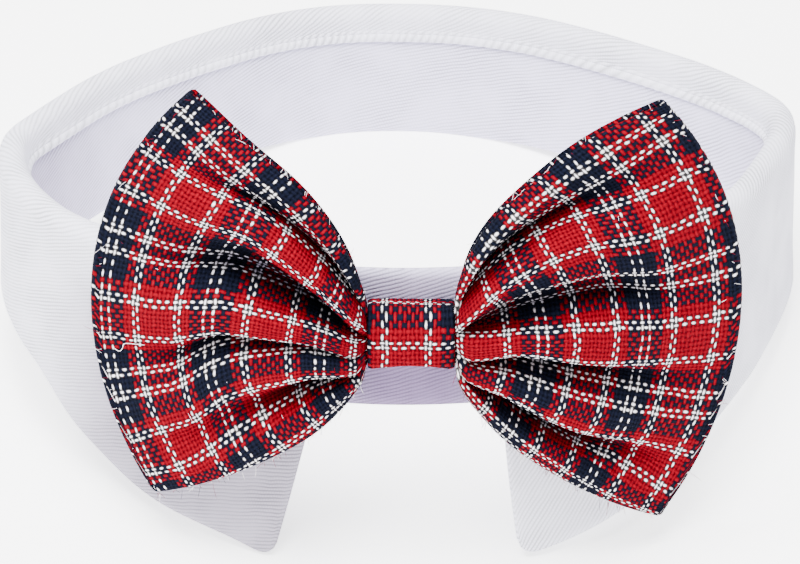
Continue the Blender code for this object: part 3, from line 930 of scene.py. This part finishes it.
class BOWCOLLAR_OT_leaf(bpy.types.Operator):
    """Makes the leaf, which rolls over the fold and hangs down outside the stand"""

    bl_idname = "bowcollar.leaf"
    bl_label = "Leaf"

    def execute(self, context):
        collar = shape_of(context)
        sizes = collar.sizes
        place = resting(collar)
        whole = collar.length - collar.edge_way(RIGHT_EDGE, 1) - collar.edge_way(LEFT_EDGE, 1)
        inner = sizes.seam_drop - collar.roll_drop
        rolled = math.pi * collar.roll
        cloth = Grain(LEAF_SLANT, whole)

        def section(across, down):
            """The way round, the drop there and the run down the cloth, closer at the points and the seam."""
            way = (across - CROWDING * math.sin(2 * math.pi * across)) * whole
            drop = collar.leaf_drop(way, whole)
            height = TUCK + inner + rolled + drop - collar.roll_drop
            near = min(down, SEAM_ROWS) / SEAM_ROWS * SEAM_REACH
            run = near + max(0.0, down - SEAM_ROWS) / (1 - SEAM_ROWS) * (height - SEAM_REACH) - TUCK
            return way, drop, run

        def ridge(way, run):
            """How far the seam's ridge stands out, with the dents of its stitches."""
            bead = ease((run + TUCK) / BEAD_SLOPE) * ease((BEAD_END - run) / BEAD_SLOPE)
            stitches = 0.85 + 0.15 * math.sin(way * 2 * math.pi / STITCH)
            return (0.15 + 0.6 * bead * stitches) * MM * ease((RIDGE_END - run) / (0.5 * MM))

        def point(across, down):
            way, drop, run = section(across, down)
            share = 0.0
            if run < inner:
                offset, z = -collar.roll - ridge(way, run), -sizes.seam_drop + run
            elif run < inner + rolled:
                bend = math.pi * (1 - (run - inner) / rolled)
                offset, z = collar.roll * math.cos(bend), collar.roll * math.sin(bend) - collar.roll_drop
            else:
                share = (run - inner - rolled) / (drop - collar.roll_drop)
                from_side = 1 - ease(min(way, whole - way) / sizes.flare_reach)
                flare = sizes.side_flare + (sizes.point_flare - sizes.side_flare) * from_side
                offset = collar.roll + flare * share ** 1.5
                z = -collar.roll_drop - (drop - collar.roll_drop) * share
            start = collar.edge_way(RIGHT_EDGE, share)
            end = collar.length - collar.edge_way(LEFT_EDGE, share)
            ripple = rippled(LEAF_RIPPLE, way, run)
            return place @ collar.out(start + (end - start) * way / whole, offset + ripple, z)

        def weave(across, down):
            way, _, run = section(across, down)
            return cloth.at(way / whole, run + TUCK)

        def hollow(across, down):
            """Painted shade: thin shadow lines along the seam's ridge, and the shade that the bow throws on the
            points.
            """
            way, drop, run = section(across, down)
            if run < inner:
                above = math.exp(-((run - RIDGE_SHADOW) / RIDGE_SHADOW_WIDTH) ** 2)
                return 0.25 * above + 0.5 * ease((-0.25 * MM - run) / (0.2 * MM))
            fall = max(0.0, run - inner - rolled) / (drop - collar.roll_drop)
            under = 1 - ease((min(way, whole - way) - POINT_SHADE) / POINT_FADE)
            deep = 0.95 - 0.15 * fall if way > whole / 2 else 0.25 * (1 - fall)
            return ease(fall * 3) * under * deep

        piece = flat_sheet("leaf_cloth", LEAF_GRID, point, weave, sizes.leaf_wall, closed=False, hollow=hollow)
        settle_on_floor(piece)
        material = twill("white_twill_outside", context.scene.cloth_colours.leaf, LEAF_CONTRAST, LEAF_PAINTED_SHADE)
        area = sum(face.area for face in piece.data.polygons)
        dress(piece, "collar_leaf", material)
        return {"FINISHED"}


class Loop:
    """One loop of the bow: where a point of its cloth lies, by the way out, the layer and the yarn."""

    def __init__(self, collar, bow, side):
        self.bow, self.side = bow, side
        self.folds = RIGHT_FOLDS if side > 0 else LEFT_FOLDS
        self.length = bow.right_length if side > 0 else bow.left_length
        self.last = self.folds[-1].yarn
        self.front = collar.bow_front(bow)
        self.waist = bow.knot_height / 2 - WAIST_MARGIN - WAIST_PINCH * bow.knot_height
        pleats = RIGHT_PLEATS if side > 0 else LEFT_PLEATS
        stripes = RIGHT_STRIPES if side > 0 else LEFT_STRIPES
        self.pleats = curve_through([p.yarn for p in pleats], [p.height * MM for p in pleats])
        self.warp = curve_through([s.out for s in stripes], [s.yarn for s in stripes])
        self.swell = curve_through(BULGE_STATIONS, BULGE_OUTWARD)
        self.rows = {}

    def row(self, share):
        """The angle and the relief by yarn, a share of the way out."""
        key = round(share, 5)
        if key not in self.rows:
            yarns, angles, reliefs = [], [], []
            for fold in self.folds:
                waist = fold.quarter + (fold.quarter - fold.half)
                turns = (waist, fold.quarter, fold.half, fold.three_quarters, fold.end)
                gripped, pinched = fold.near * RELIEF_AT_WAIST, fold.near * RELIEF_PAST_WAIST
                depths = (gripped, pinched, fold.near, fold.middle, fold.far, 0.0)
                yarns.append(fold.yarn)
                angles.append(curve_through(FOLD_STATIONS, turns)(share))
                reliefs.append(curve_through(RELIEF_STATIONS, depths)(share))
            self.rows[key] = curve_through(yarns, angles), curve_through(yarns, reliefs)
        return self.rows[key]

    def point(self, share, layer, part):
        """A point of the front panel, layer -1, or the back one, layer 1, a part of the way down the strip."""
        bow = self.bow
        yarn = part * self.last
        angle, relief = self.row(share)
        turn = math.radians(angle(yarn))
        bulge = self.swell(share)
        gap = (bow.waist_gap + (bow.end_gap - bow.waist_gap) * share) / 2
        even = bow.waist_spread * (1 - 2 * part)
        stacked = self.pleats(yarn)
        if layer > 0:
            stacked = even * BACK_WAIST
        grip = self.waist / bow.waist_spread
        stacked *= grip + (1 - grip) * ease(share / PLEAT_GRIP)
        out = share * self.length
        reach = out * math.cos(turn)
        rise = even + (stacked - even) * (1 - ease(share / PLEAT_REACH)) + out * math.sin(turn)
        fold = relief(yarn) * MM * (BACK_RELIEF if layer > 0 else bow.fold_strength)
        if layer < 0:
            rise += VIEW_RISE * fold * (1 - 1 / bow.fold_strength)
        swell = (bow.back_bulge if layer > 0 else bow.front_bulge) * bulge
        lift = (-bow.back_sag if layer > 0 else bow.front_lift) * bulge
        sweep = bow.sweep * (reach / self.length) ** 2
        return Vector((
            bow.knot_x + self.side * (bow.knot_width / 2 + KNOT_GAP + reach),
            self.front + layer * (gap + swell) - fold + sweep,
            rise + lift - bow.knot_drop,
        ))

    def end(self, turn, part):
        """A point of the folded outer end, turn going from 0 at the front panel to 1 at the back one."""
        front, back = self.point(1.0, -1, part), self.point(1.0, 1, part)
        from_middle = abs(2 * part - 1)
        out = self.bow.end_gap / 2 * (1 - END_PINCH * from_middle ** 3) * math.sin(math.pi * turn)
        return front.lerp(back, (1 - math.cos(math.pi * turn)) / 2) + Vector((self.side * out, 0, 0))


class BOWCOLLAR_OT_bow(bpy.types.Operator):
    """Makes the bow, one strip of plaid cloth folded into two loops and pinched at its waist"""

    bl_idname = "bowcollar.bow"
    bl_label = "Bow"

    def execute(self, context):
        bow = context.scene.bow_sizes
        collar = shape_of(context)
        place = resting(collar)
        left, right = Loop(collar, bow, -1), Loop(collar, bow, 1)
        front = [(k / FRONT_STEPS) ** CLOSER_AT_WAIST for k in range(FRONT_STEPS + 1)]
        back = [k / BACK_STEPS for k in range(BACK_STEPS + 1)]
        turn = [k / END_STEPS for k in range(1, END_STEPS)]
        stations = [(left, "panel", share, -1) for share in reversed(front)]
        stations += [(right, "panel", share, -1) for share in front]
        stations += [(right, "end", share, 0) for share in turn]
        stations += [(right, "panel", share, 1) for share in reversed(back)]
        stations += [(left, "panel", share, 1) for share in back]
        stations += [(left, "end", share, 0) for share in reversed(turn)]
        stations.append(stations[0])
        count = len(stations) - 1

        def point(across, down):
            loop, part, share, layer = stations[round(across * count)]
            if part == "end":
                return place @ loop.end(share, down)
            return place @ loop.point(share, layer, down)

        def weave(across, down):
            loop, part, share, layer = stations[round(across * count)]
            start = RIGHT_WEFT_START if loop.side > 0 else LEFT_WEFT_START
            weft = start + down * loop.last - CORNER_YARNS * share ** 2 * down ** 3 * (part == "panel")
            if part == "end":
                return loop.warp(1.0) + share * END_YARNS, weft
            if layer > 0:
                return 2 * loop.warp(1.0) + END_YARNS - loop.warp(share), weft
            return loop.warp(share), weft

        def hollow(across, down):
            """Painted shade in the valleys between the folds, darker the deeper they are."""
            loop, part, share, layer = stations[round(across * count)]
            if part == "end" or layer > 0:
                return 0.0
            _, relief = loop.row(share)
            return ease(-relief(down * loop.last) / FULL_SHADE_RELIEF)

        piece = flat_sheet("bow_cloth", (count, BOW_ROWS), point, weave, bow.wall, hollow=hollow)
        material = plaid("red_plaid", context.scene.cloth_colours)
        dress(piece, "bow_loops", material)
        return {"FINISHED"}


def thread(mesh, route, radius, tint):
    """A thin thread along a route, pointed at both ends, in a bmesh whose vertices hold their tint."""
    layer = mesh.verts.layers.float["tint"]
    steps = len(route) - 1
    for vertex in bmesh.ops.create_grid(mesh, x_segments=THREAD_SIDES, y_segments=steps, size=0.5)["verts"]:
        step = round((vertex.co.y + 0.5) * steps)
        turn = (vertex.co.x + 0.5) * 2 * math.pi
        ahead = route[min(step + 1, steps)] - route[max(step - 1, 0)]
        side = ahead.cross(Vector((0.3, 1.0, 0.2))).normalized()
        up = ahead.cross(side).normalized()
        thick = radius if 0 < step < steps else 0.0
        vertex.co = route[step] + (side * math.cos(turn) + up * math.sin(turn)) * thick
        vertex[layer] = tint


def loose_cotton(name, colours):
    """Fine cotton fibres in the yarns' colours."""
    recipe = Recipe(name)
    tint = recipe.node("ShaderNodeAttribute", attribute_name="tint")
    ramp = recipe.node("ShaderNodeValToRGB", {"Fac": tint.outputs[2]})
    ramp.color_ramp.interpolation = "CONSTANT"
    ramp.color_ramp.elements[1].position = WHITE_FROM
    ramp.color_ramp.elements.new(NAVY_FROM)
    for step, colour in zip(ramp.color_ramp.elements, (colours.red, colours.white, colours.navy)):
        step.color = with_alpha(colour)
    cloud = recipe.cloud(recipe.node("ShaderNodeTexCoord").outputs["Object"], 900.0)
    tone = recipe.rescale(cloud, 0.3, 0.7, 0.7, 1.1)
    return recipe.finish(recipe.shade(ramp.outputs[0], tone), 0.05)


class BOWCOLLAR_OT_fibres(bpy.types.Operator):
    """Makes the fibres that stand off the bow's edges, and the loose thread on its left loop"""

    bl_idname = "bowcollar.fibres"
    bl_label = "Loose fibres"

    def execute(self, context):
        bow = context.scene.bow_sizes
        collar = shape_of(context)
        place = resting(collar)
        chance = random.Random(FIBRE_SEED)
        mesh = bmesh.new()
        mesh.verts.layers.float.new("tint")
        for side in (-1, 1):
            loop = Loop(collar, bow, side)
            for _ in range(FIBRES_A_SIDE):
                along = chance.random()
                share, part, away = chance.choice((
                    (along, 0.0, Vector((0, -0.4, 1))),
                    (along, 1.0, Vector((0, -0.4, -1))),
                    (1.0, along, Vector((side, -0.4, 0))),
                    (along, chance.random(), Vector((0, -1, 0.2))),
                ))
                root = loop.point(share, -1, part) + Vector((0, -bow.wall * 0.4, 0))
                lean = Vector([chance.gauss(0, FIBRE_LEAN) for _ in range(3)])
                curl = Vector([chance.gauss(0, FIBRE_CURL) for _ in range(3)])
                reach = chance.uniform(*FIBRE_REACH) * MM
                route = [root + ((away + lean) * t + curl * t * t) * reach for t in FIBRE_BENDS]
                thread(mesh, [place @ p for p in route], FIBRE_RADIUS, chance.random())
        loop = Loop(collar, bow, -1)
        route = []
        for snag in LOOSE_THREAD:
            on_cloth = loop.point(snag.share, -1, snag.yarn / loop.last)
            route.append(on_cloth + Vector((0, -snag.lift * MM, 0)))
        for _ in range(2):
            corners = [p.lerp(q, t) for p, q in zip(route, route[1:]) for t in (0.25, 0.75)]
            route = route[:1] + corners + route[-1:]
        thread(mesh, [place @ p for p in route], THREAD_RADIUS, THREAD_TINT)
        bmesh.ops.remove_doubles(mesh, verts=mesh.verts, dist=MERGE)
        bmesh.ops.recalc_face_normals(mesh, faces=mesh.faces)
        piece = object_of(mesh, "loose_fibres")
        piece.data.materials.append(loose_cotton("loose_cotton", context.scene.cloth_colours))
        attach(piece, "root")
        return {"FINISHED"}


class BOWCOLLAR_OT_knot(bpy.types.Operator):
    """Makes the wrap round the bow's waist"""

    bl_idname = "bowcollar.knot"
    bl_label = "Knot"

    def execute(self, context):
        bow = context.scene.bow_sizes
        collar = shape_of(context)
        place = resting(collar)
        wall = WRAP_WALL
        back = collar.at(0)[0].y + collar.roll - collar.sizes.stand_wall / 2 - KNOT_BACK_GAP - wall / 2
        front = collar.bow_front(bow) - bow.waist_gap / 2 - PLEAT_ROOM - bow.wall / 2 - KNOT_GAP - wall / 2
        middle, half_depth = (front + back) / 2, (back - front) / 2
        tall, low = (bow.knot_height - wall) / 2, (bow.knot_back - wall) / 2

        def section(turn, down):
            """The wrap's outline: its top slopes down to the right and its lower edge is arched."""
            out = math.copysign(abs(math.cos(turn)) ** SQUARENESS, math.cos(turn))
            up = math.copysign(abs(math.sin(turn)) ** SQUARENESS, math.sin(turn))
            edge = -WRAP_SLOPE * down if up > 0 else -WRAP_ARCH * math.sin(math.pi * down)
            height = tall + edge * (1 - out) / 2 + (low - tall) * (1 + out) / 2
            crown = WRAP_DOME * math.sin(math.pi * down) ** 0.5 * (1 - up * up) * (1 - out) / 2
            return middle + half_depth * out - crown, height * up - bow.knot_drop

        def arc(across, down):
            """The way along the cloth from the middle of the front."""
            bend = 2 * math.pi * (across - 0.25)
            turns = [math.pi + bend * k / WRAP_POINTS for k in range(WRAP_POINTS + 1)]
            marks = [section(turn, down) for turn in turns]
            way = sum(math.dist(p, q) for p, q in zip(marks, marks[1:]))
            return math.copysign(way, across - 0.25)

        def point(across, down):
            y, z = section(2 * math.pi * across + math.pi / 2, down)
            x = bow.knot_x + (2 * down - 1) * bow.knot_width / 2
            return place @ Vector((x, y + rippled(KNOT_PUCKER, x, z), z))

        def weave(across, down):
            way = arc(across, down)
            room = KNOT_YARN_BELOW if way > 0 else KNOT_YARN_ABOVE
            return KNOT_WARP_START + down * KNOT_WARPS, KNOT_WEFT + way / room

        piece = flat_sheet("knot_cloth", KNOT_GRID, point, weave, wall)
        material = plaid("red_plaid_knot", context.scene.cloth_colours)
        dress(piece, "bow_knot", material)
        return {"FINISHED"}


class BOWCOLLAR_OT_stage(bpy.types.Operator):
    """Makes the floor, the lights and the camera"""

    bl_idname = "bowcollar.stage"
    bl_label = "Stage"

    def execute(self, context):
        settings = context.scene.stage_settings
        mesh = bmesh.new()
        bmesh.ops.create_grid(mesh, x_segments=1, y_segments=1, size=FLOOR_SIZE)
        floor = object_of(mesh, "floor")
        recipe = Recipe("pale_floor")
        recipe.surface.inputs["Emission Color"].default_value = (1.0, 1.0, 1.0, 1.0)
        recipe.surface.inputs["Emission Strength"].default_value = settings.glow
        floor.data.materials.append(recipe.finish(with_alpha(settings.floor), 0.1))

        world = bpy.data.worlds.new("Even light")
        world.use_nodes = True
        world.node_tree.nodes["Background"].inputs[0].default_value = (0.93, 0.94, 1.0, 1.0)
        world.node_tree.nodes["Background"].inputs[1].default_value = settings.sky
        context.scene.world = world

        for name, power, size, spot in (
            ("key_light", settings.key, 0.7, (-0.12, -0.1, 1.1)),
            ("fill_light", settings.fill, 0.6, (-0.35, -1.0, 0.45)),
        ):
            lamp = bpy.data.lights.new(name, "AREA")
            lamp.energy = power
            lamp.size = size
            holder = bpy.data.objects.new(name, lamp)
            holder.location = spot
            towards = Vector((0, -0.03, 0.03)) - Vector(spot)
            holder.rotation_euler = towards.to_track_quat("-Z", "Y").to_euler()
            context.scene.collection.objects.link(holder)

        place = resting(shape_of(context))
        angle = settings.view_angle
        aim = angle + settings.aim_below
        eye = place @ (Vector((0, -math.cos(angle), math.sin(angle))) * settings.distance)
        sight = place.to_3x3() @ Vector((0, math.cos(aim), -math.sin(aim)))
        lens = bpy.data.cameras.new("camera")
        lens.lens = settings.lens
        lens.sensor_width = 36.0
        lens.clip_start = 0.01
        camera = bpy.data.objects.new("camera", lens)
        camera.location = eye
        camera.rotation_euler = sight.to_track_quat("-Z", "Y").to_euler()
        context.scene.collection.objects.link(camera)
        context.scene.camera = camera
        return {"FINISHED"}


class BOWCOLLAR_PT_panel(bpy.types.Panel):
    """Lists the pieces in the sidebar."""

    bl_idname = "BOWCOLLAR_PT_panel"
    bl_label = "Bow Collar"
    bl_space_type = "VIEW_3D"
    bl_region_type = "UI"
    bl_category = "Bow Collar"

    def draw(self, context):
        for operator in PIECES:
            self.layout.operator(operator.bl_idname)
        for name in SETTINGS:
            group = getattr(context.scene, name)
            box = self.layout.box()
            for key in group.bl_rna.properties.keys():
                if key not in ("rna_type", "name"):
                    box.prop(group, key)


PIECES = (
    BOWCOLLAR_OT_stand,
    BOWCOLLAR_OT_leaf,
    BOWCOLLAR_OT_bow,
    BOWCOLLAR_OT_knot,
    BOWCOLLAR_OT_fibres,
    BOWCOLLAR_OT_stage,
)
SETTINGS = {
    "collar_sizes": CollarSizes,
    "bow_sizes": BowSizes,
    "cloth_colours": ClothColours,
    "stage_settings": StageSettings,
}
CLASSES = (*SETTINGS.values(), *PIECES, BOWCOLLAR_PT_panel)


def register():
    for kind in CLASSES:
        bpy.utils.register_class(kind)
    for name, group in SETTINGS.items():
        setattr(bpy.types.Scene, name, PointerProperty(type=group))


def unregister():
    for name in SETTINGS:
        delattr(bpy.types.Scene, name)
    for kind in reversed(CLASSES):
        bpy.utils.unregister_class(kind)


def main():
    register()
    bpy.ops.bowcollar.stand()
    bpy.ops.bowcollar.leaf()
    bpy.ops.bowcollar.bow()
    bpy.ops.bowcollar.knot()
    bpy.ops.bowcollar.fibres()
    bpy.ops.bowcollar.stage()


if __name__ == "__main__":
    main()
